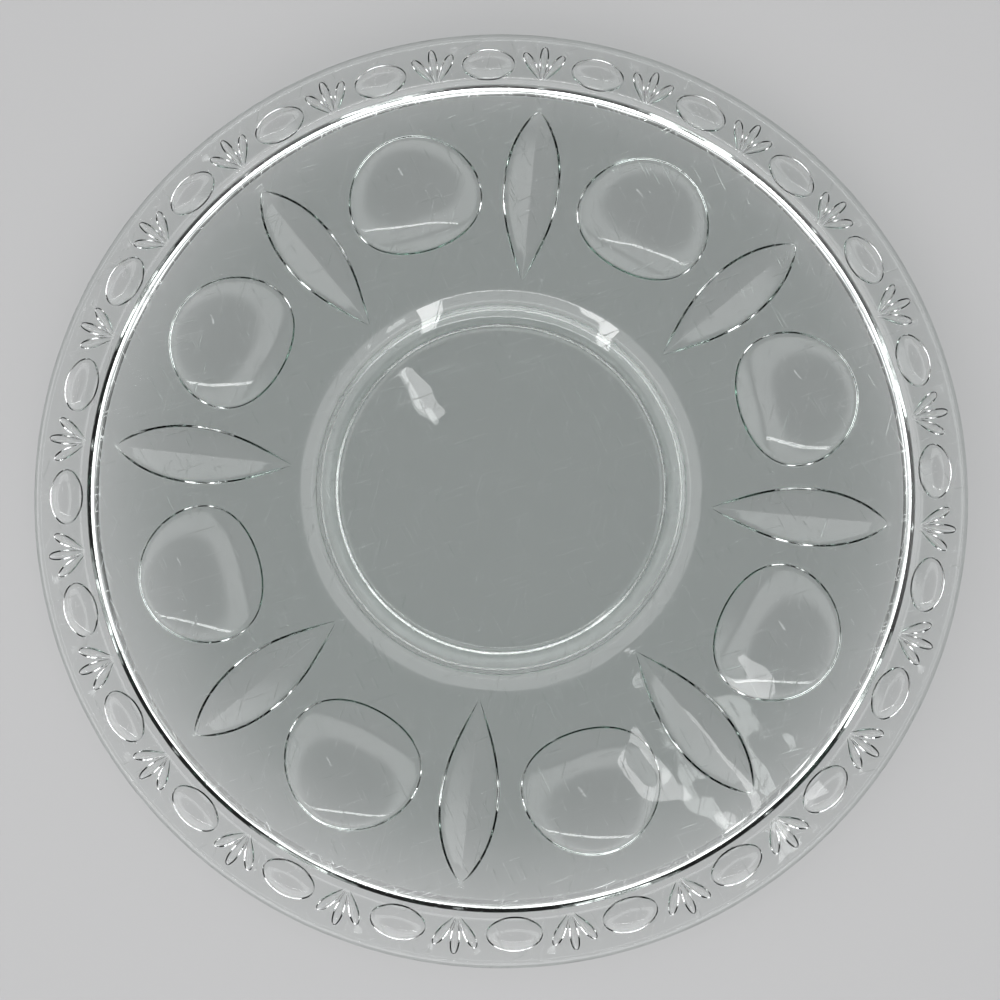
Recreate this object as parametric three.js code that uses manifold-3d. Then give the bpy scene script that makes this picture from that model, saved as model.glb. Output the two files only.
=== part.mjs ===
// A round serving platter of clear pressed glass, made in one piece. A flat centre well stands on a foot
// ring, a gently dished flange rises from it, and a small step sets off the sloping rim with its round lip.
// The pattern is pressed into the underside: pointed leaves alternate with oval thumbprints round the flange,
// and three-petal fans alternate with small ovals round the rim. The top is smooth.
// Millimetres, +Z up, origin at the centre of the foot on the table, one leaf on +X.

import * as THREE from 'three';
import { mergeVertices } from 'three/addons/utils/BufferGeometryUtils.js';
import Module from 'manifold-3d';

const wasm = await Module();
wasm.setup();

// Foot ring and centre well
const footOuterRadius = 70;
const footLandWidth = 6;
const footHeight = 6; // table to the inner end of the flange's underside
const footDraft = 1; // run of each foot wall over its height
const wellRecess = 2.2; // table to the underside of the well
const wellThickness = 5;
const wellInset = 1.5; // from the foot's inner edge in to the end of the flat floor
const shoulderOutset = 5.5; // from the foot's outer edge out to where the slope of the well meets the flange

// Flange, an arc in section
const flangeThickness = 5.6;
const flangeInnerSlope = 8; // degrees
const flangeOuterSlope = 18; // degrees

// Step and rim
const stepRun = 2.2;
const stepRise = 2;
const rimRadius = 165; // outermost edge of the lip
const rimWidth = 17.4; // from the outer end of the flange's underside to the outermost edge
const rimThickness = 4.6;
const rimSlope = 17; // degrees

// Rounded edges of the section
const footFillet = 1.2;
const footRootFillet = 3;
const wellFillet = 20;
const shoulderFillet = 36;
const stepFillet = 1.4;
const filletShare = 0.48; // most of a side that one fillet may take

// Pattern of the flange, with gaps from the two ends of its underside
const flangeMotifs = 8; // leaves, and thumbprints between them
const leafInnerGap = 9.2;
const leafOuterGap = 7.7;
const leafWidth = 20.8;
const leafDepth = 3;
const thumbprintInnerGap = 23.5;
const thumbprintOuterGap = 10.7;
const thumbprintWidth = 52; // round the platter
const thumbprintDepth = 2.4;

// Pattern of the rim, with gaps from the step and from the middle of the lip
const rimMotifs = 24; // fans, and ovals between them
const rimOvalInnerGap = 0.6;
const rimOvalOuterGap = 1.8;
const rimOvalWidth = 20.2;
const rimOvalDepth = 1.3;
const fanInnerGap = 0.6;
const fanOuterGap = 0.4;
const fanTurns = [-37, 0, 37]; // degrees of the petals from the fan's axis
const petalStart = 0.4; // from the fan's apex to a petal's point
const petalWidth = 3.9;
const petalDepth = 1.1;
const petalFloor = 0.4; // share of its width that is flat at the bottom

// Facets
const turnSteps = 72;
const sectionSag = 0.15; // most that a facet of the section may cut off its arc
const leafStations = 8;
const petalStations = 3;
const thumbprintRings = 3;
const thumbprintSpokes = 20;
const rimOvalRings = 2;
const rimOvalSpokes = 10;
const mergeDistance = 1e-4;

// Cutters stand out of the surface that they cut
const edgeOverrun = 0.5;
const tipOverrun = 0.15;
const backOverrun = 1;

const radians = THREE.MathUtils.degToRad;

// How many facets an arc of the section takes
function arcSteps(radius, turned) {
  const facet = 2 * Math.acos(Math.max(0, 1 - sectionSag / radius));
  return Math.max(1, Math.ceil(turned / facet));
}

// Section of the flange: two arcs about one centre
const innerSlope = radians(flangeInnerSlope);
const outerSlope = radians(flangeOuterSlope);
const flangeInnerRadius = footOuterRadius + footDraft;
const flangeOuterRadius = rimRadius - rimWidth;
const flangeBend = (flangeOuterRadius - flangeInnerRadius) / (Math.sin(outerSlope) - Math.sin(innerSlope));
const bendCentre = {
  r: flangeInnerRadius - flangeBend * Math.sin(innerSlope),
  z: footHeight + flangeBend * Math.cos(innerSlope),
};

// A point of the flange's section at a slope, `depth` into the glass from the underside
function flangePoint(slope, depth) {
  const bend = flangeBend - depth;
  return { r: bendCentre.r + bend * Math.sin(slope), z: bendCentre.z - bend * Math.cos(slope) };
}

// Slope of the flange where it passes a radius, `depth` into the glass
function flangeSlopeAt(radius, depth) {
  return Math.asin((radius - bendCentre.r) / (flangeBend - depth));
}

// Section of the rim: a straight band between two parallel lines, closed by a half-round lip
const slopeOfRim = radians(rimSlope);
const flangeTopEnd = flangePoint(outerSlope, flangeThickness);
const rimTopStart = { r: flangeTopEnd.r + stepRun, z: flangeTopEnd.z + stepRise };
const rimInnerRadius = flangeOuterRadius + stepRun;
const lipHalf = rimThickness / 2;
const lipCentre = { r: rimRadius - lipHalf };
lipCentre.z = rimTopStart.z + (lipCentre.r - rimTopStart.r) * Math.tan(slopeOfRim)
  - lipHalf / Math.cos(slopeOfRim);

// A point of the rim's section at a radius of its underside, `depth` into the glass
function rimPoint(radius, depth) {
  const drop = (lipCentre.r - radius) * Math.tan(slopeOfRim) + lipHalf / Math.cos(slopeOfRim);
  return {
    r: radius - depth * Math.sin(slopeOfRim),
    z: lipCentre.z - drop + depth * Math.cos(slopeOfRim),
  };
}

// Points of an outline whose corners are rounded where they give a fillet, as far as their sides leave room
function roundCorners(corners) {
  const places = corners.map(({ r, z }) => new THREE.Vector2(r, z));
  return corners.flatMap(({ fillet }, index) => {
    const corner = places[index];
    if (!fillet) return [corner];
    const back = places[index - 1].clone().sub(corner);
    const ahead = places[index + 1].clone().sub(corner);
    const room = filletShare * Math.min(back.length(), ahead.length());
    const half = 0.5 * Math.abs(Math.atan2(back.cross(ahead), back.dot(ahead)));
    const reach = Math.min(fillet / Math.tan(half), room);
    const turned = Math.PI - 2 * half;
    const sweep = -Math.sign(back.cross(ahead)) * turned;
    const bisector = back.clone().normalize().add(ahead.clone().normalize()).normalize();
    const centre = corner.clone().addScaledVector(bisector, reach / Math.cos(half));
    const start = corner.clone().addScaledVector(back.normalize(), reach);
    const steps = arcSteps(reach * Math.tan(half), turned);
    const rounded = [];
    for (let step = 0; step <= steps; step += 1) {
      rounded.push(start.clone().rotateAround(centre, (sweep * step) / steps));
    }
    return rounded;
  });
}

// Corners along the flange between two slopes, with the fillets of its two ends
function flangeCorners(fromSlope, toSlope, depth, fromFillet, toFillet) {
  const steps = arcSteps(flangeBend, Math.abs(toSlope - fromSlope));
  const corners = [];
  for (let step = 0; step <= steps; step += 1) {
    corners.push(flangePoint(THREE.MathUtils.lerp(fromSlope, toSlope, step / steps), depth));
  }
  corners[0].fillet = fromFillet;
  corners[steps].fillet = toFillet;
  return corners;
}

// Points round the half-round lip, from the underside to the top
function lipCorners() {
  const steps = arcSteps(lipHalf, Math.PI);
  const corners = [];
  for (let step = 0; step <= steps; step += 1) {
    const turn = slopeOfRim + Math.PI * (step / steps - 0.5);
    corners.push({ r: lipCentre.r + lipHalf * Math.cos(turn), z: lipCentre.z + lipHalf * Math.sin(turn) });
  }
  return corners;
}

// The closed section, from the axis out along the underside, round the lip and back over the top
function platterSection() {
  const wellTop = wellRecess + wellThickness;
  const footInnerRadius = footOuterRadius - footLandWidth;
  const shoulderSlope = flangeSlopeAt(footOuterRadius + shoulderOutset, flangeThickness);
  return roundCorners([
    { r: 0, z: wellRecess },
    { r: footInnerRadius - footDraft, z: wellRecess, fillet: footFillet },
    { r: footInnerRadius, z: 0, fillet: footFillet },
    { r: footOuterRadius, z: 0, fillet: footFillet },
    ...flangeCorners(innerSlope, outerSlope, 0, footRootFillet, stepFillet),
    { ...rimPoint(rimInnerRadius, 0), fillet: stepFillet },
    ...lipCorners(),
    { ...rimTopStart, fillet: stepFillet },
    ...flangeCorners(outerSlope, shoulderSlope, flangeThickness, stepFillet, shoulderFillet),
    { r: footInnerRadius - wellInset, z: wellTop, fillet: wellFillet },
    { r: 0, z: wellTop },
  ]);
}

// A solid from a closed geometry
function solidOf(geometry) {
  geometry.deleteAttribute('normal');
  geometry.deleteAttribute('uv');
  const merged = mergeVertices(geometry, mergeDistance);
  const corners = merged.index.array;
  const kept = [];
  for (let corner = 0; corner < corners.length; corner += 3) {
    const [a, b, c] = corners.slice(corner, corner + 3);
    if (a !== b && b !== c && c !== a) kept.push(a, b, c);
  }
  return new wasm.Manifold(new wasm.Mesh({
    numProp: 3,
    vertProperties: new Float32Array(merged.attributes.position.array),
    triVerts: new Uint32Array(kept),
  }));
}

// A closed geometry of loops with as many points each, drawn together to a pole at either end
function closedLoops(firstPole, loops, lastPole) {
  const sides = loops[0].length;
  const points = [firstPole, ...loops.flat(), lastPole];
  const last = points.length - 1;
  const triangles = [];
  for (let side = 0; side < sides; side += 1) {
    const next = (side + 1) % sides;
    triangles.push(0, 1 + next, 1 + side);
    for (let loop = 1; loop < loops.length; loop += 1) {
      const near = 1 + (loop - 1) * sides;
      const far = near + sides;
      triangles.push(near + side, near + next, far + next);
      triangles.push(near + side, far + next, far + side);
    }
    triangles.push(last - sides + side, last - sides + next, last);
  }
  const geometry = new THREE.BufferGeometry().setFromPoints(points);
  geometry.setIndex(triangles);
  return geometry;
}

// The stretch of an underside that a motif takes up between two gaps: its length along the section, and the
// point of the section at `run` from its middle and `depth` into the glass
function flangeStretch(innerGap, outerGap) {
  const from = flangeSlopeAt(flangeInnerRadius + innerGap, 0);
  const to = flangeSlopeAt(flangeOuterRadius - outerGap, 0);
  return {
    length: flangeBend * (to - from),
    point: (run, depth) => flangePoint((from + to) / 2 + run / flangeBend, depth),
  };
}

function rimStretch(innerGap, outerGap) {
  const from = rimInnerRadius + innerGap;
  const to = lipCentre.r - outerGap;
  return {
    length: (to - from) / Math.cos(slopeOfRim),
    point: (run, depth) => rimPoint((from + to) / 2 + run * Math.cos(slopeOfRim), depth),
  };
}

// A point of a motif laid on its stretch of the underside: `across` runs round the platter
function laidPoint(stretch, turn, across, run, depth) {
  const { r, z } = stretch.point(run, depth);
  const angle = turn + across / stretch.point(run, 0).r;
  return new THREE.Vector3(r * Math.cos(angle), r * Math.sin(angle), z);
}

// Cutter of an oval hollow, shaped like the face of a lens
function ovalCutter(stretch, turn, width, depth, rings, spokes) {
  const reach = Math.sqrt(1 + edgeOverrun / depth);
  const loops = [];
  for (let ring = 1; ring <= rings; ring += 1) {
    const share = (reach * ring) / rings;
    const loop = [];
    for (let spoke = 0; spoke < spokes; spoke += 1) {
      const around = (2 * Math.PI * spoke) / spokes;
      const across = (width / 2) * share * Math.cos(around);
      const run = (stretch.length / 2) * share * Math.sin(around);
      loop.push(laidPoint(stretch, turn, across, run, depth * (1 - share ** 2)));
    }
    loops.push(loop);
  }
  const deepest = laidPoint(stretch, turn, 0, 0, depth);
  const back = laidPoint(stretch, turn, 0, 0, -depth - backOverrun);
  return closedLoops(deepest, loops, back);
}

// Cutter of a leaf: a groove with straight flanks, whose keel is an arc that runs out to a point at each end
function leafCutter(stretch, turn) {
  const half = stretch.length / 2;
  const reach = half * Math.sqrt(1 + edgeOverrun / leafDepth);
  const loops = [];
  for (let station = 1; station < leafStations; station += 1) {
    const run = -reach * Math.cos((Math.PI * station) / leafStations);
    const keel = leafDepth * (1 - (run / half) ** 2);
    const edge = (leafWidth / 2) * ((keel + edgeOverrun) / leafDepth);
    loops.push([
      laidPoint(stretch, turn, edge, run, -edgeOverrun),
      laidPoint(stretch, turn, 0, run, keel),
      laidPoint(stretch, turn, -edge, run, -edgeOverrun),
      laidPoint(stretch, turn, 0, run, -backOverrun),
    ]);
  }
  const tipDepth = -(edgeOverrun + backOverrun) / 2;
  const innerTip = laidPoint(stretch, turn, 0, -reach, tipDepth);
  const outerTip = laidPoint(stretch, turn, 0, reach, tipDepth);
  return closedLoops(innerTip, loops, outerTip);
}

// Cutter of one petal of a fan: a groove that is pointed at the fan's apex and blunt at the lip
function petalCutter(stretch, turn, petalTurn) {
  const apexRun = -stretch.length / 2;
  const petalLength = stretch.length - petalStart;
  const place = (along, across, depth) => laidPoint(
    stretch,
    turn,
    along * Math.sin(petalTurn) + across * Math.cos(petalTurn),
    apexRun + along * Math.cos(petalTurn) - across * Math.sin(petalTurn),
    depth,
  );
  const widest = 2 / 3; // where the outline t * sqrt(1 - t) is widest
  const fullness = 1 / (widest * Math.sqrt(1 - widest));
  const loops = [];
  for (let station = 1; station < petalStations; station += 1) {
    const share = (1 - Math.cos((Math.PI * station) / petalStations)) / 2;
    const swell = fullness * share * Math.sqrt(1 - share);
    const keel = petalDepth * swell;
    const edge = (petalWidth / 2) * swell * Math.sqrt(1 + edgeOverrun / keel);
    const along = petalStart + petalLength * share;
    loops.push([
      place(along, edge, -edgeOverrun),
      place(along, edge * petalFloor, keel),
      place(along, -edge * petalFloor, keel),
      place(along, -edge, -edgeOverrun),
      place(along, 0, -backOverrun),
    ]);
  }
  const point = place(petalStart, 0, -tipOverrun);
  const bluntEnd = place(petalStart + petalLength, 0, -tipOverrun);
  return closedLoops(point, loops, bluntEnd);
}

// Cutters of the whole pattern
function patternCutters() {
  const leaf = flangeStretch(leafInnerGap, leafOuterGap);
  const thumbprint = flangeStretch(thumbprintInnerGap, thumbprintOuterGap);
  const fan = rimStretch(fanInnerGap, fanOuterGap);
  const oval = rimStretch(rimOvalInnerGap, rimOvalOuterGap);
  const cutters = [];
  for (let motif = 0; motif < flangeMotifs; motif += 1) {
    const turn = (2 * Math.PI * motif) / flangeMotifs;
    const between = turn + Math.PI / flangeMotifs;
    cutters.push(leafCutter(leaf, turn));
    cutters.push(ovalCutter(
      thumbprint,
      between,
      thumbprintWidth,
      thumbprintDepth,
      thumbprintRings,
      thumbprintSpokes,
    ));
  }
  for (let motif = 0; motif < rimMotifs; motif += 1) {
    const turn = (2 * Math.PI * motif) / rimMotifs;
    const between = turn + Math.PI / rimMotifs;
    for (const fanTurn of fanTurns) {
      cutters.push(petalCutter(fan, turn, radians(fanTurn)));
    }
    cutters.push(ovalCutter(oval, between, rimOvalWidth, rimOvalDepth, rimOvalRings, rimOvalSpokes));
  }
  return cutters;
}

// The glass body with its pattern pressed in
function platterGeometry() {
  const blank = new THREE.LatheGeometry(platterSection(), turnSteps);
  blank.rotateX(Math.PI / 2);
  let glass = solidOf(blank);
  for (const cutter of patternCutters()) {
    glass = glass.subtract(solidOf(cutter));
  }
  const mesh = glass.getMesh();
  const geometry = new THREE.BufferGeometry();
  geometry.setAttribute('position', new THREE.BufferAttribute(new Float32Array(mesh.vertProperties), 3));
  geometry.setIndex(new THREE.BufferAttribute(new Uint32Array(mesh.triVerts), 1));
  geometry.computeVertexNormals();
  return geometry;
}

const clearGlass = new THREE.MeshStandardMaterial({
  color: 0xdfe8e3,
  roughness: 0.04,
  metalness: 0,
  transparent: true,
  opacity: 0.35,
});

const platter = new THREE.Mesh(platterGeometry(), clearGlass);
platter.name = 'platter';

const object = new THREE.Group();
object.add(platter);

export default object;
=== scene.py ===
import math

import bpy
import numpy as np
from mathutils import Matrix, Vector
from mathutils.geometry import delaunay_2d_cdt
from mathutils.kdtree import KDTree


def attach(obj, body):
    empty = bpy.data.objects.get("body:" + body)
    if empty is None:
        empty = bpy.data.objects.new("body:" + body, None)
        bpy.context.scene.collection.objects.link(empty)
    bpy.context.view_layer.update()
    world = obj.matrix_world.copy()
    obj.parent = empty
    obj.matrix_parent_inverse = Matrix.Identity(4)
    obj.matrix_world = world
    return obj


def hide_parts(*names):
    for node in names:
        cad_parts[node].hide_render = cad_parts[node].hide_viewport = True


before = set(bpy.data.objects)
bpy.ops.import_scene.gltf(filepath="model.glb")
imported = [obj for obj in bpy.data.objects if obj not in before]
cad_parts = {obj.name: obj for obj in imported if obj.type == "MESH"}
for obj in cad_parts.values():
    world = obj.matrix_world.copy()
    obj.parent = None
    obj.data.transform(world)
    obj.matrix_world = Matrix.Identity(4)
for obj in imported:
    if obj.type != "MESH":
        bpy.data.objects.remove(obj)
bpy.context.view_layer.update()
print("frame loaded")

# the glass is modelled in millimetres and brought to metres at the end
metre = 0.001

blank = {
    "turnSteps": 288,
    "footOuterRadius": 70.0,
    "footLandWidth": 6.0,
    "footHeight": 6.0,
    "footDraft": 1.0,
    "wellRecess": 2.2,
    "wellThickness": 5.0,
    "wellInset": 1.5,
    "shoulderOutset": 6.6,
    "flangeThickness": 5.6,
    "flangeInnerSlope": math.radians(8),
    "flangeOuterSlope": math.radians(18),
    "flangeTopRows": 15,
    "stepRun": 2.2,
    "stepOut": 1.2,
    "stepRise": 2.0,
    "rimRadius": 165.0,
    "rimWidth": 17.4,
    "rimThickness": 4.6,
    "rimSlope": math.radians(17),
    "lipRows": 20,
    # rings of points on the plain parts of the section
    "wellUnderRings": (0, 20, 40, 56, 60.5),
    "wellTopRings": (57, 54, 40, 20, 0),
    "rimTopShares": (0.12, 0.4, 0.7, 0.88),
    "footRootEnd": 3.4,
    "flangeTopStart": 2.0,  # from the step to the first row, from the last to the shoulder
    "flangeTopStop": 5.0,
    # how far each corner's rounding reaches along its sides, and its segments
    "footInnerSoft": (0.9, 8),
    "footOuterSoft": (1.1, 10),
    "footRootSoft": (2.2, 10),
    "beadRootSoft": (0.35, 5),
    "beadCrestSoft": (0.25, 5),
    "rimStartSoft": (0.25, 4),
    "stepTopSoft": (1.5, 8),
    "stepFootSoft": (1.2, 6),
    "shoulderSoft": (2.2, 8),
    "wellSoft": (3.8, 8),
    "flatMargin": 0.05,  # straight length left beside a rounding
    # where the plain rings stop and the pattern takes over
    "flangeRunIn": 4.4,
    "flangeRunOut": 2.4,
    "rimRunIn": 0.5,
    # bead under the step: its root before the end of the flange, its crest past it,
    # its depth, and where its wall meets the rim
    "beadRoot": 1.6,
    "beadCrest": 0.3,
    "beadDepth": 1.5,
    "beadWall": 0.2,
    # the smooth top sinks a little over each motif: depth, half sizes and middle radius
    "sinkDepth": 0.28,
    "sinkLeaf": (8.0, 31.0, 110.0),
    "sinkThumb": (19.0, 17.0, 116.0),
}

# section of the flange: two arcs about one centre
footInner = blank["footOuterRadius"] - blank["footLandWidth"]
flangeInner = blank["footOuterRadius"] + blank["footDraft"]
flangeOuter = blank["rimRadius"] - blank["rimWidth"]
innerSlope = blank["flangeInnerSlope"]
outerSlope = blank["flangeOuterSlope"]
bend = (flangeOuter - flangeInner) / (math.sin(outerSlope) - math.sin(innerSlope))
bendRadius = flangeInner - bend * math.sin(innerSlope)
bendHeight = blank["footHeight"] + bend * math.cos(innerSlope)


def flangePoint(slope, depth):
    reach = bend - depth
    return bendRadius + reach * math.sin(slope), bendHeight - reach * math.cos(slope)


def flangeSlope(radius, depth):
    return math.asin((radius - bendRadius) / (bend - depth))


# section of the rim: a straight band with a half-round lip
rimSlope = blank["rimSlope"]
topEnd = flangePoint(outerSlope + blank["stepOut"] / bend, blank["flangeThickness"])
rimTop = (topEnd[0] + blank["stepRun"], topEnd[1] + blank["stepRise"])
rimInner = flangeOuter + blank["stepRun"]
lipHalf = blank["rimThickness"] / 2
lipRadius = blank["rimRadius"] - lipHalf
lipRise = (lipRadius - rimTop[0]) * math.tan(rimSlope)
lipHeight = rimTop[1] + lipRise - lipHalf / math.cos(rimSlope)


def rimPoint(radius, depth):
    drop = (lipRadius - radius) * math.tan(rimSlope) + lipHalf / math.cos(rimSlope)
    return radius - depth * math.sin(rimSlope), lipHeight - drop + depth * math.cos(rimSlope)


def lipPoint(row):
    turn = rimSlope + math.pi * (row / blank["lipRows"] - 0.5)
    return lipRadius + lipHalf * math.cos(turn), lipHeight + lipHalf * math.sin(turn)


def between(start, end, share):
    return start[0] + (end[0] - start[0]) * share, start[1] + (end[1] - start[1]) * share


def flatBetween(start, end):
    # two points that keep the side between two rounded corners flat
    length = math.dist(start[:2], end[:2])
    first = (start[2][0] + blank["flatMargin"]) / length
    last = 1 - (end[2][0] + blank["flatMargin"]) / length
    return [(*between(start, end, share), None) for share in (first, last)]


def underChain():
    # from the axis, under the well and over the foot ring to the flange
    recess = blank["wellRecess"]
    chain = [(radius, recess, None) for radius in blank["wellUnderRings"]]
    chain.append((footInner - blank["footDraft"], recess, blank["footInnerSoft"]))
    landStart = (footInner, 0, blank["footInnerSoft"])
    landEnd = (blank["footOuterRadius"], 0, blank["footOuterSoft"])
    footRoot = (*flangePoint(innerSlope, 0), blank["footRootSoft"])
    chain += [landStart, *flatBetween(landStart, landEnd)]
    chain += [landEnd, *flatBetween(landEnd, footRoot), footRoot]
    for run in (blank["footRootEnd"], blank["flangeRunIn"]):
        chain.append((*flangePoint(innerSlope + run / bend, 0), None))
    return chain


def stepChain():
    # the bead and step that join the undersides of the flange and the rim
    beadRoot = (*flangePoint(outerSlope - blank["beadRoot"] / bend, 0), blank["beadRootSoft"])
    crestSlope = outerSlope + blank["beadCrest"] / bend
    beadCrest = (*flangePoint(crestSlope, -blank["beadDepth"]), blank["beadCrestSoft"])
    rimStart = (*rimPoint(rimInner + blank["beadWall"], 0), blank["rimStartSoft"])
    return [
        (*flangePoint(outerSlope - blank["flangeRunOut"] / bend, 0), None),
        beadRoot,
        *flatBetween(beadRoot, beadCrest),
        beadCrest,
        *flatBetween(beadCrest, rimStart),
        rimStart,
        (*rimPoint(rimInner + blank["rimRunIn"], 0), None),
    ]


def topChain():
    # round the lip and back over the smooth top to the axis
    chain = [(*lipPoint(row), None) for row in range(blank["lipRows"] + 1)]
    rimTopEnd = lipPoint(blank["lipRows"])
    for share in blank["rimTopShares"]:
        chain.append((*between(rimTopEnd, rimTop, share), None))
    thickness = blank["flangeThickness"]
    chain.append((*rimTop, blank["stepTopSoft"]))
    chain.append((*topEnd, blank["stepFootSoft"]))
    shoulder = flangeSlope(blank["footOuterRadius"] + blank["shoulderOutset"], thickness)
    firstRow = outerSlope - blank["flangeTopStart"] / bend
    lastRow = shoulder + blank["flangeTopStop"] / bend
    rows = blank["flangeTopRows"]
    for row in range(rows + 1):
        slope = firstRow + (lastRow - firstRow) * row / rows
        chain.append((*flangePoint(slope, thickness), None))
    wellTop = blank["wellRecess"] + blank["wellThickness"]
    chain.append((*flangePoint(shoulder, thickness), blank["shoulderSoft"]))
    chain.append((footInner - blank["wellInset"], wellTop, blank["wellSoft"]))
    for radius in blank["wellTopRings"]:
        chain.append((radius, wellTop, None))
    return chain


def clearSelection():
    if bpy.context.mode != "OBJECT":
        bpy.ops.object.mode_set(mode="OBJECT")
    bpy.ops.object.select_all(action="DESELECT")


def workOn(piece):
    clearSelection()
    piece.select_set(True)
    bpy.context.view_layer.objects.active = piece
    bpy.ops.object.mode_set(mode="EDIT")
    bpy.ops.mesh.select_all(action="SELECT")


def drawChain(chain):
    # one point, extruded from corner to corner
    bpy.ops.mesh.select_all(action="DESELECT")
    bpy.ops.mesh.primitive_plane_add(size=1)
    bpy.ops.mesh.merge(type="CENTER")
    bpy.ops.transform.translate(value=(chain[0][0], 0, chain[0][1]))
    for start, end in zip(chain, chain[1:]):
        step = (end[0] - start[0], 0, end[1] - start[1])
        bpy.ops.mesh.extrude_region_move(TRANSFORM_OT_translate={"value": step})


def selectVertices(piece, test):
    bpy.ops.object.mode_set(mode="OBJECT")
    for face in piece.data.polygons:
        face.select = False
    for edge in piece.data.edges:
        edge.select = False
    for vertex in piece.data.vertices:
        vertex.select = test(vertex.co)
    bpy.ops.object.mode_set(mode="EDIT")
    bpy.ops.mesh.select_mode(type="VERT")


def roundCorners(piece, chain):
    for radius, height, soft in chain:
        if soft is None:
            continue
        corner = Vector((radius, 0, height))
        selectVertices(piece, lambda place: (place - corner).length < 1e-3)
        reach, segments = soft
        bpy.ops.mesh.bevel(
            offset_type="OFFSET",
            offset=reach,
            segments=segments,
            affect="VERTICES",
        )


def sinkShare(radius, angle):
    # leaves lie on the eighths of the circle, thumbprints between them
    eighth = math.pi / 4
    leafAcross = radius * ((angle + eighth / 2) % eighth - eighth / 2)
    thumbAcross = radius * (angle % eighth - eighth / 2)
    width, length, middle = blank["sinkLeaf"]
    overLeaf = math.exp(-((leafAcross / width) ** 2) - ((radius - middle) / length) ** 4)
    width, length, middle = blank["sinkThumb"]
    overThumb = math.exp(-((thumbAcross / width) ** 4) - ((radius - middle) / length) ** 4)
    return overLeaf + overThumb


def sinkTop(piece):
    inner = blank["footOuterRadius"] + blank["shoulderOutset"]
    middle = blank["flangeThickness"] / 2
    for vertex in piece.data.vertices:
        radius = vertex.co.xy.length
        if not inner < radius < topEnd[0]:
            continue
        if vertex.co.z > flangePoint(flangeSlope(radius, middle), middle)[1]:
            angle = math.atan2(vertex.co.y, vertex.co.x)
            vertex.co.z -= blank["sinkDepth"] * sinkShare(radius, angle)


def makeBlank():
    clearSelection()
    bpy.ops.mesh.primitive_plane_add(size=1)
    piece = bpy.context.object
    piece.name = "platter_glass"
    piece.data.name = "platter_glass"
    workOn(piece)
    bpy.ops.mesh.delete(type="VERT")
    chains = [underChain(), stepChain(), topChain()]
    for chain in chains:
        drawChain(chain)
    for chain in chains:
        roundCorners(piece, chain)
    bpy.ops.mesh.select_all(action="SELECT")
    bpy.ops.mesh.spin(
        steps=blank["turnSteps"],
        angle=2 * math.pi,
        center=(0, 0, 0),
        axis=(0, 0, 1),
    )
    bpy.ops.mesh.select_all(action="SELECT")
    bpy.ops.mesh.remove_doubles(threshold=1e-4)
    bpy.ops.object.mode_set(mode="OBJECT")
    sinkTop(piece)
    return piece


glass = makeBlank()
print(f"blank spun: {len(glass.data.polygons)} faces")


# pattern pressed into the underside; each motif is modelled flat, as
# across, run along the section and depth into the glass, then laid in its place
def layOnFlange(piece, middleSlope, turn):
    for vertex in piece.data.vertices:
        across, run, depth = vertex.co
        slope = middleSlope + run / bend
        radius, height = flangePoint(slope, depth)
        angle = turn + across / flangePoint(slope, 0)[0]
        vertex.co = (radius * math.cos(angle), radius * math.sin(angle), height)


def layOnRim(piece, middleRadius, turn):
    for vertex in piece.data.vertices:
        across, run, depth = vertex.co
        place = middleRadius + run * math.cos(rimSlope)
        radius, height = rimPoint(place, depth)
        angle = turn + across / place
        vertex.co = (radius * math.cos(angle), radius * math.sin(angle), height)


def copyRound(piece, count):
    workOn(piece)
    bpy.ops.mesh.spin(
        steps=count - 1,
        dupli=True,
        angle=2 * math.pi * (count - 1) / count,
        center=(0, 0, 0),
        axis=(0, 0, 1),
    )
    bpy.ops.object.mode_set(mode="OBJECT")


def softRamp(past, soft):
    # nothing before a corner, climbing one to one after it, rounded between
    if past <= -soft:
        return 0
    if past >= soft:
        return past
    return (past + soft) ** 2 / (4 * soft)


edgeMargin = 2.2  # flat border round a motif, against the softness of its edge


def wallPlaces(sizes):
    # distances in from the edge: over the edge, down the wall and round its foot
    soft = sizes["soft"]
    foot = sizes["wallFootSoft"]
    places = [step * soft for step in (-edgeMargin, -1, -0.5, 0, 0.5, 1)]
    return places + [sizes["wallWidth"] + step * foot for step in (-1, -0.5, 0, 0.5, 1)]


def wallAndPast(inside, sizes):
    # how much of the way in lies on the wall, and how much past its foot
    past = softRamp(inside - sizes["wallWidth"], sizes["wallFootSoft"])
    return softRamp(inside, sizes["soft"]) - past, past


def bowlDepth(inside, half, sizes):
    wall, past = wallAndPast(inside, sizes)
    share = past / (half - sizes["wallWidth"])
    return sizes["wallLean"] * wall + sizes["bowlDepth"] * (1 - (1 - share) ** 2)


def makeBowl(name, sizes, length):
    # an oval ring, extruded inwards ring by ring and let down to its depth
    clearSelection()
    bpy.ops.mesh.primitive_circle_add(vertices=sizes["spokes"], radius=1, fill_type="NOTHING")
    piece = bpy.context.object
    piece.name = name
    workOn(piece)
    half = (sizes["width"] + length) / 4
    places = wallPlaces(sizes) + [half * (1 - share) for share in sizes["innerRings"]]
    rings = [1 - place / half for place in places]
    bpy.ops.transform.resize(
        value=(sizes["width"] / 2 * rings[0], length / 2 * rings[0], 1),
        center_override=(0, 0, 0),
    )
    depths = [bowlDepth(place, half, sizes) for place in places]
    for step in range(1, len(rings)):
        shrink = rings[step] / rings[step - 1]
        bpy.ops.mesh.extrude_region_move()
        bpy.ops.transform.resize(value=(shrink, shrink, 1), center_override=(0, 0, 0))
        bpy.ops.transform.translate(value=(0, 0, depths[step] - depths[step - 1]))
    bpy.ops.mesh.merge(type="CENTER")
    bpy.ops.transform.translate(value=(0, 0, bowlDepth(half, half, sizes) - depths[-1]))
    bpy.ops.object.mode_set(mode="OBJECT")
    return piece


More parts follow.
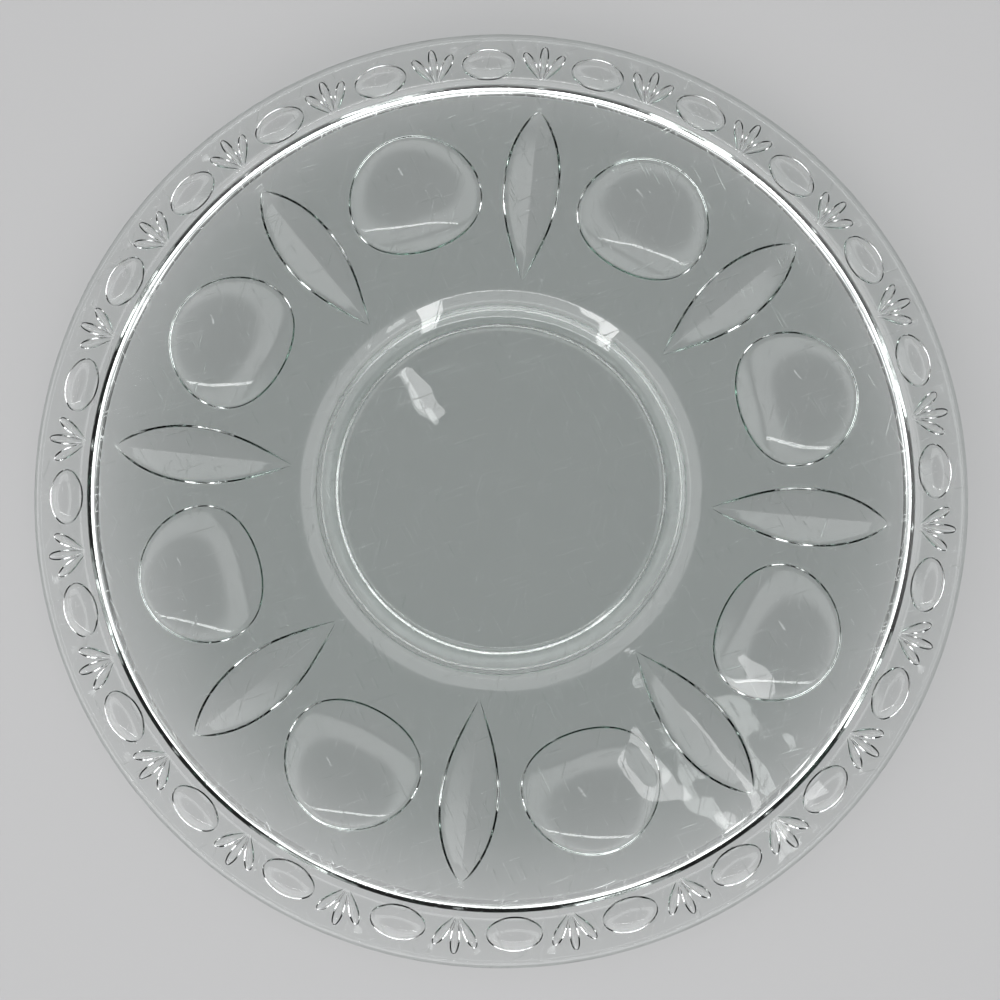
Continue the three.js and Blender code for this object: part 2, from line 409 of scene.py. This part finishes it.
thumbprint = {
    "count": 8,
    "innerGap": 23.5,
    "outerGap": 10.7,
    "width": 52.0,
    "soft": 0.25,
    "wallWidth": 0.85,
    "wallLean": 1.15,
    "wallFootSoft": 0.35,
    "bowlDepth": 2.2,
    "spokes": 72,
    "innerRings": [0.9, 0.82, 0.73, 0.64, 0.55, 0.46, 0.36, 0.26, 0.14],
}


def makeThumbprints():
    start = flangeSlope(flangeInner + thumbprint["innerGap"], 0)
    end = flangeSlope(flangeOuter - thumbprint["outerGap"], 0)
    piece = makeBowl("thumbprints", thumbprint, bend * (end - start))
    layOnFlange(piece, (start + end) / 2, math.pi / thumbprint["count"])
    copyRound(piece, thumbprint["count"])
    return piece


rimOval = {
    "count": 24,
    "innerGap": 1.0,
    "outerGap": 1.8,
    "width": 20.2,
    "soft": 0.16,
    "wallWidth": 0.6,
    "wallLean": 1.15,
    "wallFootSoft": 0.22,
    "bowlDepth": 0.9,
    "spokes": 36,
    "innerRings": [0.8, 0.66, 0.5, 0.34, 0.17],
}


def makeRimOvals():
    start = rimInner + rimOval["innerGap"]
    end = lipRadius - rimOval["outerGap"]
    piece = makeBowl("rim_ovals", rimOval, (end - start) / math.cos(rimSlope))
    layOnRim(piece, (start + end) / 2, math.pi / rimOval["count"])
    copyRound(piece, rimOval["count"])
    return piece


def makeGroove(name, stations, columns, place):
    # a flat sheet drawn in to a point at both ends
    clearSelection()
    bpy.ops.mesh.primitive_grid_add(x_subdivisions=2 * columns, y_subdivisions=stations, size=2)
    piece = bpy.context.object
    piece.name = name
    for vertex in piece.data.vertices:
        column = round(vertex.co.x * columns)
        along = vertex.co.y
        vertex.co = place(column, along)
    workOn(piece)
    bpy.ops.mesh.remove_doubles(threshold=1e-4)
    bpy.ops.object.mode_set(mode="OBJECT")
    return piece


leaf = {
    "count": 8,
    "innerGap": 8.7,
    "outerGap": 6.1,
    "width": 22.0,
    "innerTaper": 1.05,  # long point towards the foot, blunt one towards the rim
    "outerTaper": 0.75,
    "stations": 44,
    "endCrowding": 0.6,  # how much closer the stations lie towards the points
    # the steep wall along the edge; towards the points it shrinks with the half width
    "soft": 0.26,
    "softMost": 0.1,
    "wallWidth": 1.05,
    "wallMost": 0.2,
    "wallLean": 1.1,
    "wallFootSoft": 0.36,
    # the flat sides that meet in the keel
    "sideLean": 0.265,
    "sideShares": [0.35, 0.7],
    "keelSoft": 0.2,
}


def leafSwell(through):
    # width at a share of the way out, against the widest place
    inner = leaf["innerTaper"]
    outer = leaf["outerTaper"]
    widest = inner / (inner + outer)
    return (through / widest) ** inner * ((1 - through) / (1 - widest)) ** outer


def leafPlace(column, along, length):
    crowd = leaf["endCrowding"]
    run = (1 - crowd) * along + crowd * math.sin(along * math.pi / 2)
    through = min(max((run + 1) / 2, 0), 1)
    halfWidth = max(leaf["width"] / 2 * leafSwell(through), 1e-6)
    softMost = leaf["softMost"] * halfWidth
    sizes = {
        "soft": min(leaf["soft"], softMost),
        "wallWidth": min(leaf["wallWidth"], leaf["wallMost"] * halfWidth),
        "wallFootSoft": min(leaf["wallFootSoft"], softMost),
    }
    keelSoft = min(leaf["keelSoft"], softMost)
    walls = [halfWidth - place for place in wallPlaces(sizes)]
    sides = [keelSoft + share * (walls[-1] - keelSoft) for share in leaf["sideShares"]]
    across = [0, keelSoft / 2, keelSoft, *sides, *reversed(walls)][abs(column)]
    fromKeel = across
    if across < keelSoft:
        fromKeel = (across**2 + keelSoft**2) / (2 * keelSoft)
    wall, past = wallAndPast(halfWidth - fromKeel, sizes)
    depth = leaf["wallLean"] * wall + leaf["sideLean"] * past
    return math.copysign(across, column), run * length / 2, depth


def makeLeaves():
    start = flangeSlope(flangeInner + leaf["innerGap"], 0)
    end = flangeSlope(flangeOuter - leaf["outerGap"], 0)
    length = bend * (end - start)
    # across one half: two points round the keel, then the flat side, then the wall
    columns = 2 + len(leaf["sideShares"]) + len(wallPlaces(leaf))
    piece = makeGroove(
        "leaves",
        leaf["stations"],
        columns,
        lambda column, along: leafPlace(column, along, length),
    )
    layOnFlange(piece, (start + end) / 2, 0)
    copyRound(piece, leaf["count"])
    return piece


def joinPieces(name, pieces):
    clearSelection()
    for piece in pieces:
        piece.select_set(True)
    bpy.context.view_layer.objects.active = pieces[0]
    bpy.ops.object.join()
    joined = bpy.context.object
    joined.name = name
    workOn(joined)
    bpy.ops.mesh.remove_doubles(threshold=1e-3)
    bpy.ops.object.mode_set(mode="OBJECT")
    return joined


fan = {
    "count": 24,
    "innerGap": 0.6,
    "outerGap": 0.4,
    "turn": math.radians(37),
    "petalStart": 0.5,
    "petalWidth": 3.6,
    "stations": 16,
    "swellScale": 2.598,  # brings the widest place of a petal to one
    "joined": 0.56,  # share of the length over which two petals share one ridge
    "ridgeShare": 0.8,
    "soft": 0.13,
    "softMost": 0.1,
    "wallWidth": 0.6,
    "wallMost": 0.36,
    "wallLean": 1.15,
    "wallFootSoft": 0.2,
    "bowlDepth": 0.35,
}


def petalPlace(column, along, length, sharedSides):
    through = 1 - (1 - (along + 1) / 2) ** 2
    swell = fan["swellScale"] * through * math.sqrt(max(0, 1 - through))
    halfWidth = max(fan["petalWidth"] / 2 * swell, 1e-6)
    run = fan["petalStart"] + length * through
    ridge = run * math.tan(fan["turn"] / 2)
    shared = math.copysign(1, column) in sharedSides and 0 < through <= fan["joined"]
    softMost = fan["softMost"] * halfWidth
    soft = min(fan["soft"], softMost)
    if shared:
        soft = min(soft, fan["ridgeShare"] * (ridge - halfWidth))
    wallWidth = min(fan["wallWidth"], fan["wallMost"] * halfWidth)
    foot = min(fan["wallFootSoft"], softMost)
    margin = ridge if shared else halfWidth + edgeMargin * soft
    places = [0, 0.5 * (halfWidth - wallWidth - foot)]
    places += [halfWidth - wallWidth - foot, halfWidth - wallWidth, halfWidth - wallWidth + foot]
    places += [halfWidth - soft, halfWidth, halfWidth + soft, margin]
    across = places[abs(column)]
    sizes = {"soft": soft, "wallWidth": wallWidth, "wallFootSoft": foot}
    wall, past = wallAndPast(halfWidth - across, sizes)
    share = past / (halfWidth - wallWidth)
    depth = fan["wallLean"] * wall + fan["bowlDepth"] * swell * (1 - (1 - share) ** 2)
    return math.copysign(across, column), run, depth


def makeFans():
    start = rimInner + fan["innerGap"]
    end = lipRadius - fan["outerGap"]
    fanLength = (end - start) / math.cos(rimSlope)
    length = fanLength - fan["petalStart"]
    columns = 8  # steps across half a petal
    petals = []
    for turn, sharedSides in ((-1, (1,)), (0, (-1, 1)), (1, (-1,))):
        petal = makeGroove(
            "petal",
            fan["stations"],
            columns,
            lambda column, along: petalPlace(column, along, length, sharedSides),
        )
        lean = turn * fan["turn"]
        for vertex in petal.data.vertices:
            across, run, depth = vertex.co
            vertex.co = (
                across * math.cos(lean) + run * math.sin(lean),
                run * math.cos(lean) - across * math.sin(lean) - fanLength / 2,
                depth,
            )
        petals.append(petal)
    piece = joinPieces("fans", petals)
    layOnRim(piece, (start + end) / 2, 0)
    copyRound(piece, fan["count"])
    return piece


motifs = [makeThumbprints(), makeLeaves(), makeRimOvals(), makeFans()]
glass = joinPieces("platter_glass", [glass, *motifs])
print(f"motifs laid: {len(glass.data.polygons)} faces")


# plain glass between the motifs: points spread over each zone and joined into triangles
web = {
    "flangeSpacing": 5.0,
    "rimSpacing": 2.6,
    "rowShare": 0.87,  # rows of even triangles against the spacing
    "clearShare": 0.62,  # share of the spacing that stays free round the motifs
}


def openEdges(mesh, inner, outer):
    uses = {}
    for face in mesh.polygons:
        for key in face.edge_keys:
            uses[key] = uses.get(key, 0) + 1
    radii = [vertex.co.xy.length for vertex in mesh.vertices]
    edges = [key for key, count in uses.items() if count == 1]
    return [key for key in edges if all(inner - 0.01 < radii[end] < outer + 0.01 for end in key)]


def betweenOutlines(places, outlines):
    # a line from such a place crosses the outlines an odd number of times
    places = np.array(places)
    odd = np.zeros(len(places), dtype=bool)
    for (startX, startY), (endX, endY) in outlines:
        spans = (startY > places[:, 1]) != (endY > places[:, 1])
        if startY != endY:
            crossing = startX + (endX - startX) * (places[:, 1] - startY) / (endY - startY)
            odd ^= spans & (places[:, 0] < crossing)
    return odd


def spreadPoints(inner, outer, spacing):
    places = []
    rows = round((outer - inner) / (spacing * web["rowShare"]))
    for row in range(1, rows):
        radius = inner + (outer - inner) * row / rows
        count = round(2 * math.pi * radius / spacing)
        for step in range(count):
            turn = 2 * math.pi * (step + 0.5 * (row % 2)) / count
            places.append((radius * math.cos(turn), radius * math.sin(turn)))
    return places


def makeWeb(name, piece, inner, outer, spacing, heightAt):
    mesh = piece.data
    edges = openEdges(mesh, inner, outer)
    corners = sorted({end for key in edges for end in key})
    order = {corner: number for number, corner in enumerate(corners)}
    points = [mesh.vertices[corner].co.copy() for corner in corners]
    outlines = [tuple(mesh.vertices[end].co.xy for end in key) for key in edges]
    tree = KDTree(len(points))
    for number, point in enumerate(points):
        tree.insert((point.x, point.y, 0), number)
    tree.balance()
    spread = spreadPoints(inner, outer, spacing)
    for (x, y), isWeb in zip(spread, betweenOutlines(spread, outlines)):
        if isWeb and tree.find((x, y, 0))[2] > web["clearShare"] * spacing:
            points.append(Vector((x, y, heightAt(math.hypot(x, y)))))
    joins = [(order[start], order[end]) for start, end in edges]
    flat = [point.xy for point in points]
    net = delaunay_2d_cdt(flat, joins, [], 0, 1e-6)
    source = [numbers[0] for numbers in net[3]]
    faces = [[source[corner] for corner in face] for face in net[2]]
    middles = [sum((flat[corner] for corner in face), Vector((0, 0))) / 3 for face in faces]
    faces = [face for face, isWeb in zip(faces, betweenOutlines(middles, outlines)) if isWeb]
    sheet = bpy.data.objects.new(name, bpy.data.meshes.new(name))
    bpy.context.collection.objects.link(sheet)
    sheet.data.from_pydata(points, [], faces)
    print(f"{name}: {len(faces)} faces, {len(net[0]) - len(points)} points added by crossings")
    return sheet


def flangeHeight(radius):
    return flangePoint(flangeSlope(radius, 0), 0)[1]


def rimHeight(radius):
    return rimPoint(radius, 0)[1]


flangeWeb = makeWeb(
    "flange_web",
    glass,
    flangePoint(innerSlope + blank["flangeRunIn"] / bend, 0)[0],
    flangePoint(outerSlope - blank["flangeRunOut"] / bend, 0)[0],
    web["flangeSpacing"],
    flangeHeight,
)
rimWeb = makeWeb(
    "rim_web",
    glass,
    rimInner + blank["rimRunIn"],
    lipPoint(0)[0],
    web["rimSpacing"],
    rimHeight,
)
glass = joinPieces("platter_glass", [glass, flangeWeb, rimWeb])


def finishGlass(piece):
    workOn(piece)
    bpy.ops.mesh.normals_make_consistent(inside=False)
    bpy.ops.object.mode_set(mode="OBJECT")
    piece.scale = (metre, metre, metre)
    bpy.ops.object.transform_apply(location=False, rotation=False, scale=True)
    bpy.ops.object.shade_smooth()


finishGlass(glass)
print(f"glass finished: {len(glass.data.vertices)} vertices, {len(glass.data.polygons)} faces")
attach(glass, "root")
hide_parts("platter")


# clear pressed glass: a faint green in the thickness, slow waves in the surface,
# hairline scratches from use and a foot worn dull
glassFinish = {
    "ior": 1.52,
    "tint": (0.80, 0.93, 0.88, 1.0),
    "tintDensity": 25.0,
    # painted shade: lamp and floor light through the glass keeps this colour, darker than clear
    # glass passes, so the floor under the platter lies in a deeper shadow
    "shade": (0.72, 0.735, 0.73, 1.0),
    "roughness": (0.006, 0.022),
    "smearScale": 55.0,
    "waveScale": 34.0,
    "waveStrength": 0.03,
    # turn, length and width of the scratches, as waves to the metre
    "scratches": [(24, 60.0, 1500.0), (-57, 85.0, 1700.0), (81, 70.0, 1400.0)],
    "scratchLevel": (0.77, 0.81),
    "scratchDepth": 0.00005,
    "scratchRoughness": 0.1,
    "wearHeight": (0.00045, 0.00008),
    "wearScale": 160.0,
    "wearPatches": (0.35, 0.6),
    "wearRoughness": 0.13,
}


def addNoise(tree, place, scale, detail):
    noise = tree.nodes.new("ShaderNodeTexNoise")
    noise.inputs["Scale"].default_value = scale
    noise.inputs["Detail"].default_value = detail
    tree.links.new(place, noise.inputs["Vector"])
    return noise.outputs["Fac"]


def addRange(tree, value, source, target=(0.0, 1.0)):
    node = tree.nodes.new("ShaderNodeMapRange")
    node.inputs["From Min"].default_value = source[0]
    node.inputs["From Max"].default_value = source[1]
    node.inputs["To Min"].default_value = target[0]
    node.inputs["To Max"].default_value = target[1]
    tree.links.new(value, node.inputs["Value"])
    return node.outputs["Result"]


def addMath(tree, operation, first, second):
    node = tree.nodes.new("ShaderNodeMath")
    node.operation = operation
    for value, socket in zip((first, second), node.inputs):
        if isinstance(value, float):
            socket.default_value = value
        else:
            tree.links.new(value, socket)
    return node.outputs["Value"]


def addScratches(tree, place):
    found = None
    for turn, lengthScale, widthScale in glassFinish["scratches"]:
        mapping = tree.nodes.new("ShaderNodeMapping")
        mapping.vector_type = "TEXTURE"
        mapping.inputs["Rotation"].default_value = (0, 0, math.radians(turn))
        mapping.inputs["Scale"].default_value = (1 / lengthScale, 1 / widthScale, 1 / lengthScale)
        tree.links.new(place, mapping.inputs["Vector"])
        streaks = addNoise(tree, mapping.outputs["Vector"], 1.0, 0.0)
        streaks = addRange(tree, streaks, glassFinish["scratchLevel"])
        found = streaks if found is None else addMath(tree, "MAXIMUM", found, streaks)
    return found


def makeGlassFinish():
    material = bpy.data.materials.new("clear_pressed_glass")
    material.use_nodes = True
    tree = material.node_tree
    tree.nodes.clear()
    link = tree.links.new
    place = tree.nodes.new("ShaderNodeTexCoord").outputs["Object"]
    split = tree.nodes.new("ShaderNodeSeparateXYZ")
    link(place, split.inputs["Vector"])
    waves = addNoise(tree, place, glassFinish["waveScale"], 1.0)
    wavy = tree.nodes.new("ShaderNodeBump")
    wavy.inputs["Strength"].default_value = glassFinish["waveStrength"]
    wavy.inputs["Distance"].default_value = 0.01
    link(waves, wavy.inputs["Height"])
    surface = tree.nodes.new("ShaderNodeNewGeometry")
    facing = tree.nodes.new("ShaderNodeSeparateXYZ")
    link(surface.outputs["Normal"], facing.inputs["Vector"])
    onTop = addRange(tree, facing.outputs["Z"], (0.8, 0.92))
    scratches = addMath(tree, "MULTIPLY", addScratches(tree, place), onTop)
    bump = tree.nodes.new("ShaderNodeBump")
    bump.invert = True
    bump.inputs["Strength"].default_value = 1.0
    bump.inputs["Distance"].default_value = glassFinish["scratchDepth"]
    link(scratches, bump.inputs["Height"])
    link(wavy.outputs["Normal"], bump.inputs["Normal"])
    smears = addNoise(tree, place, glassFinish["smearScale"], 3.0)
    dull = addRange(tree, smears, (0.3, 0.7), glassFinish["roughness"])
    scratched = addMath(tree, "MULTIPLY", scratches, glassFinish["scratchRoughness"])
    worn = addRange(tree, split.outputs["Z"], glassFinish["wearHeight"])
    patches = addNoise(tree, place, glassFinish["wearScale"], 2.0)
    patches = addRange(tree, patches, glassFinish["wearPatches"])
    worn = addMath(tree, "MULTIPLY", worn, patches)
    worn = addMath(tree, "MULTIPLY", worn, glassFinish["wearRoughness"])
    roughness = addMath(tree, "MAXIMUM", addMath(tree, "MAXIMUM", dull, scratched), worn)
    body = tree.nodes.new("ShaderNodeBsdfPrincipled")
    body.inputs["Base Color"].default_value = (1, 1, 1, 1)
    body.inputs["IOR"].default_value = glassFinish["ior"]
    body.inputs["Transmission Weight"].default_value = 1.0
    link(roughness, body.inputs["Roughness"])
    link(bump.outputs["Normal"], body.inputs["Normal"])
    # light for the floor passes straight through, dimmed by the shade colour into a painted
    # shadow darker than clear glass casts
    clear = tree.nodes.new("ShaderNodeBsdfTransparent")
    clear.inputs["Color"].default_value = glassFinish["shade"]
    path = tree.nodes.new("ShaderNodeLightPath")
    fromFloor = tree.nodes.new("ShaderNodeMixShader")
    link(path.outputs["Is Diffuse Ray"], fromFloor.inputs["Fac"])
    link(body.outputs["BSDF"], fromFloor.inputs[1])
    link(clear.outputs["BSDF"], fromFloor.inputs[2])
    mix = tree.nodes.new("ShaderNodeMixShader")
    link(path.outputs["Is Shadow Ray"], mix.inputs["Fac"])
    link(fromFloor.outputs["Shader"], mix.inputs[1])
    link(clear.outputs["BSDF"], mix.inputs[2])
    tint = tree.nodes.new("ShaderNodeVolumeAbsorption")
    tint.inputs["Color"].default_value = glassFinish["tint"]
    tint.inputs["Density"].default_value = glassFinish["tintDensity"]
    output = tree.nodes.new("ShaderNodeOutputMaterial")
    link(mix.outputs["Shader"], output.inputs["Surface"])
    link(tint.outputs["Volume"], output.inputs["Volume"])
    return material


glass.data.materials.clear()
glass.data.materials.append(makeGlassFinish())
print("glass finish set")


floor = {
    "width": 8.0,
    "height": -0.0002,
    "colour": (0.5, 0.5, 0.505, 1.0),
    "roughness": 0.7,
}


def makeFloor():
    clearSelection()
    bpy.ops.mesh.primitive_plane_add(size=floor["width"], location=(0, 0, floor["height"]))
    piece = bpy.context.object
    piece.name = "floor"
    material = bpy.data.materials.new("pale_floor")
    material.use_nodes = True
    paint = material.node_tree.nodes["Principled BSDF"]
    paint.inputs["Base Color"].default_value = floor["colour"]
    paint.inputs["Roughness"].default_value = floor["roughness"]
    piece.data.materials.append(material)


makeFloor()


# narrow lamps: place, width, length, turn in degrees and radiance
strips = {
    "front_strip": ((0, -0.46, 1.2), 1.1, 0.03, 0, 10.0),
    "back_gleam": ((-0.35, 0.487, 3.0), 0.05, 0.30, 35, 5.0),
}


def makeLamp(name, place, width, length, radiance, turn):
    clearSelection()
    bpy.ops.object.light_add(type="AREA", location=place)
    lamp = bpy.context.object
    lamp.name = name
    lamp.data.shape = "RECTANGLE"
    lamp.data.size = width
    lamp.data.size_y = length
    lamp.data.energy = radiance * math.pi * width * length
    lamp.rotation_euler.z = turn


for name, (place, width, length, turn, radiance) in strips.items():
    makeLamp(name, place, width, length, radiance, math.radians(turn))


# soft light from above: a ring all round and a broad bank behind,
# each as height, the cosine of the angle from straight up, and radiance
studio = {
    "ring": [
        (0.0, 0.53),
        (0.12, 0.48),
        (0.45, 0.1),
        (0.82, 0.07),
        (0.838, 2.5),
        (0.9, 2.5),
        (0.93, 0.35),
        (0.975, 0.02),
    ],
    "bank": [(0.48, 0.0), (0.54, 2.7), (0.79, 2.7), (0.825, 0.0)],
    "bankTurn": math.radians(246),
    "bankStart": -0.1,
    "bankFull": 0.4,
    "bankLeast": 0.1,
}


def addRamp(tree, height, stops):
    node = tree.nodes.new("ShaderNodeValToRGB")
    band = node.color_ramp.elements
    for position, level in stops[1:-1]:
        band.new(position)
    for element, (position, level) in zip(band, stops):
        element.position = position
        element.color = (level, level, level, 1)
    tree.links.new(height, node.inputs["Fac"])
    return node.outputs["Color"]


def addVector(tree, operation, first, second=None):
    node = tree.nodes.new("ShaderNodeVectorMath")
    node.operation = operation
    tree.links.new(first, node.inputs[0])
    if isinstance(second, tuple):
        node.inputs[1].default_value = second
    elif second is not None:
        tree.links.new(second, node.inputs["Scale" if operation == "SCALE" else 1])
    return node.outputs["Value" if operation == "DOT_PRODUCT" else "Vector"]


def makeWorld():
    world = bpy.data.worlds.new("studio")
    bpy.context.scene.world = world
    world.use_nodes = True
    tree = world.node_tree
    place = tree.nodes.new("ShaderNodeTexCoord").outputs["Generated"]
    split = tree.nodes.new("ShaderNodeSeparateXYZ")
    tree.links.new(place, split.inputs["Vector"])
    ring = addRamp(tree, split.outputs["Z"], studio["ring"])
    bank = addRamp(tree, split.outputs["Z"], studio["bank"])
    level = addVector(tree, "NORMALIZE", addVector(tree, "MULTIPLY", place, (1, 1, 0)))
    behind = (math.cos(studio["bankTurn"]), math.sin(studio["bankTurn"]), 0)
    facing = addVector(tree, "DOT_PRODUCT", level, behind)
    fade = tree.nodes.new("ShaderNodeMapRange")
    fade.interpolation_type = "SMOOTHSTEP"
    fade.inputs["From Min"].default_value = studio["bankStart"]
    fade.inputs["From Max"].default_value = studio["bankFull"]
    fade.inputs["To Min"].default_value = studio["bankLeast"]
    tree.links.new(facing, fade.inputs["Value"])
    bank = addVector(tree, "SCALE", bank, fade.outputs["Result"])
    light = addVector(tree, "ADD", ring, bank)
    tree.links.new(light, tree.nodes["Background"].inputs["Color"])


makeWorld()

camera = {
    "place": (0.0012, -0.01589, 0.37867),
    "pitch": math.radians(4.607),
    "roll": math.radians(5.80),
    "lens": 35.136,
    "shift": -0.05,
}


def makeCamera():
    clearSelection()
    turn = (camera["pitch"], 0, camera["roll"])
    bpy.ops.object.camera_add(location=camera["place"], rotation=turn)
    eye = bpy.context.object
    eye.name = "camera"
    eye.data.sensor_width = 36
    eye.data.lens = camera["lens"]
    eye.data.shift_y = camera["shift"]
    eye.data.clip_start = 0.01
    bpy.context.scene.camera = eye


makeCamera()
bpy.context.scene.view_settings.view_transform = "Standard"
print("stage, lamps and camera set")
